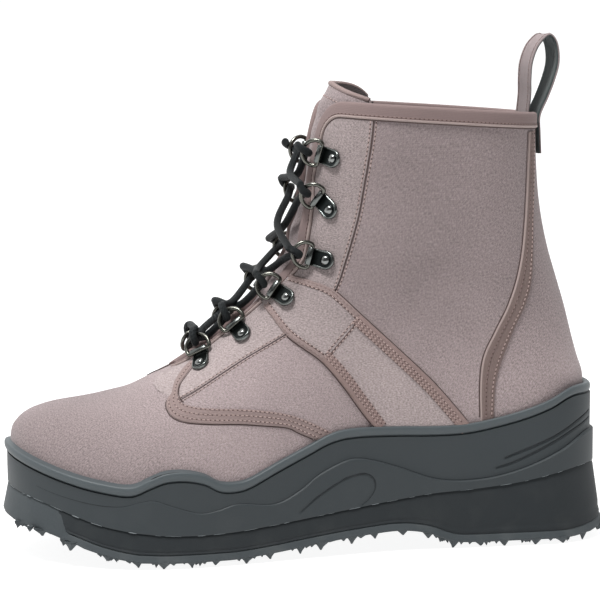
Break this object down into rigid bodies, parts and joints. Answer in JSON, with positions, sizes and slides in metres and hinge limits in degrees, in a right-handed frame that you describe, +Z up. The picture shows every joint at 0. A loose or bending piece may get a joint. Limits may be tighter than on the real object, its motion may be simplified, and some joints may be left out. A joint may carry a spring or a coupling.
{
  "type": "wading boot",
  "caption": "Laced wading boot with canvas upper, rubber sidewall, black foam wedge and heel, cleated tread and a pull loop at the back.",
  "frame": {"origin": "on the floor at the middle of the flat resting pad under the heel", "axes": "+X forward to the toe, +Y to the outer side of the left foot, +Z up"},
  "size_m": [0.321, 0.113, 0.2643],
  "materials": {
    "canvas": "woven nylon canvas, mauve grey",
    "tape": "woven binding tape, darker mauve",
    "sidewall_rubber": "matt moulded rubber, dark grey",
    "midsole_foam": "matt black foam",
    "tread_rubber": "matt rubber, grey",
    "insole_fabric": "dark fabric",
    "gunmetal": "dark nickel plated",
    "lace_cord": "round braided cord, dark grey"
  },
  "bodies": {
    "root": {"ankle_strap_lateral": "canvas", "ankle_strap_medial": "canvas", "back_tape_lateral": "tape", "back_tape_medial": "tape", "clip_lateral_1": "gunmetal", "clip_lateral_2": "gunmetal", "clip_lateral_3": "gunmetal", "clip_lateral_4": "gunmetal", "clip_lateral_5": "gunmetal", "clip_lateral_6": "gunmetal", "clip_medial_1": "gunmetal", "clip_medial_2": "gunmetal", "clip_medial_3": "gunmetal", "clip_medial_4": "gunmetal", "clip_medial_5": "gunmetal", "clip_medial_6": "gunmetal", "collar_binding_lateral": "tape", "collar_binding_medial": "tape", "eyestay_binding_lateral": "tape", "eyestay_binding_medial": "tape", "insole": "insole_fabric", "lace": "lace_cord", "pull_loop": "tape", "ring_lateral_1": "gunmetal", "ring_lateral_2": "gunmetal", "ring_lateral_3": "gunmetal", "ring_lateral_4": "gunmetal", "ring_lateral_5": "gunmetal", "ring_lateral_6": "gunmetal", "ring_medial_1": "gunmetal", "ring_medial_2": "gunmetal", "ring_medial_3": "gunmetal", "ring_medial_4": "gunmetal", "ring_medial_5": "gunmetal", "ring_medial_6": "gunmetal", "sidewall": "sidewall_rubber", "tongue": "canvas", "tread": "tread_rubber", "upper": "canvas", "vamp_tape_lateral": "tape", "vamp_tape_medial": "tape", "wedge": "midsole_foam"}
  },
  "joints": []
}
